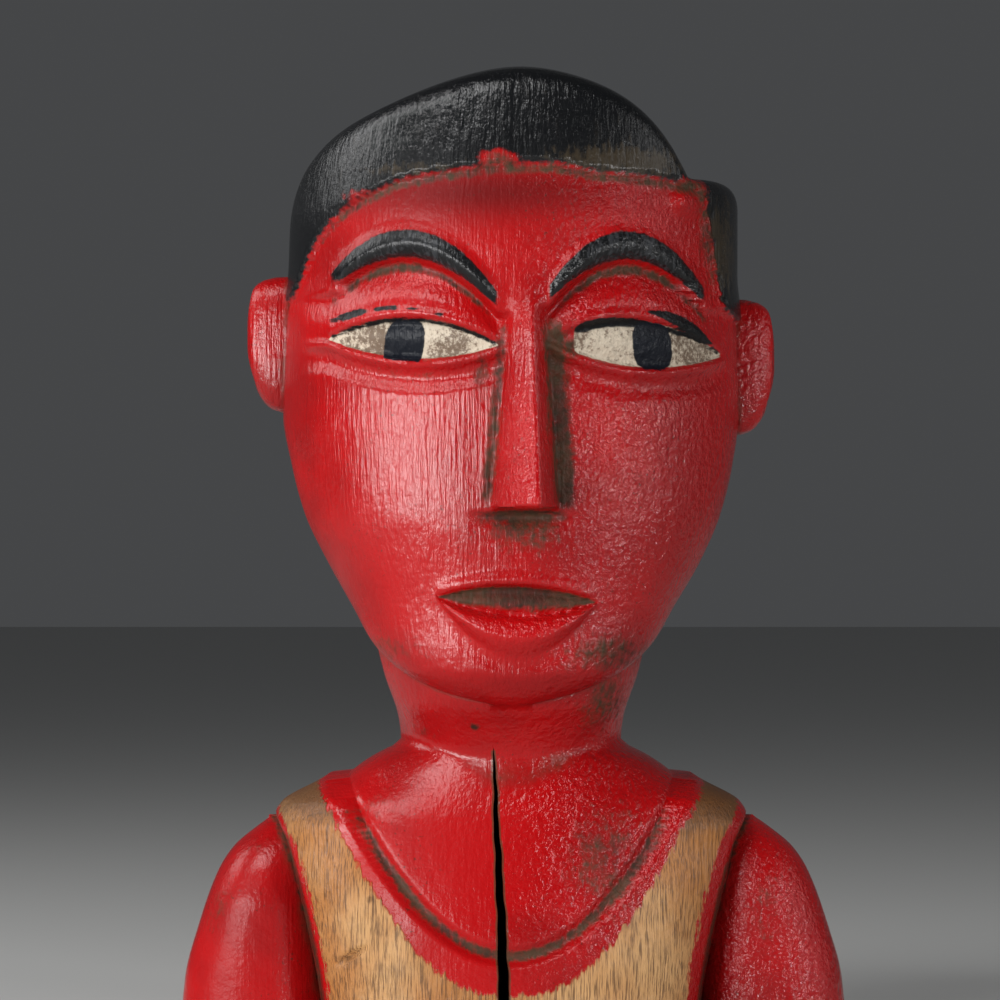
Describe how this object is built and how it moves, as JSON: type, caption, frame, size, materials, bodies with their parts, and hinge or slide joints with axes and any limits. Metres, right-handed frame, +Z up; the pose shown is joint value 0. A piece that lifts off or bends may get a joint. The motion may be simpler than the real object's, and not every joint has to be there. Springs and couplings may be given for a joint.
{
  "type": "spirit spouse figure bust",
  "caption": "Carved and painted wooden bust with a long oval head, cropped hair, a sleeveless vest and upper arms, cut flat to stand on its base.",
  "frame": {"origin": "on the flat cut underneath, below the middle of the neck", "axes": "+Z up through the crown, -Y out of the face, +X to the viewer's right"},
  "size_m": [0.1001, 0.0803, 0.1463],
  "materials": {
    "painted_wood": "gloss enamel paint, red skin and black hair, over carved wood left bare on the vest, with dirt in the hollows"
  },
  "bodies": {
    "root": {"carved_bust": "painted_wood"}
  },
  "joints": []
}
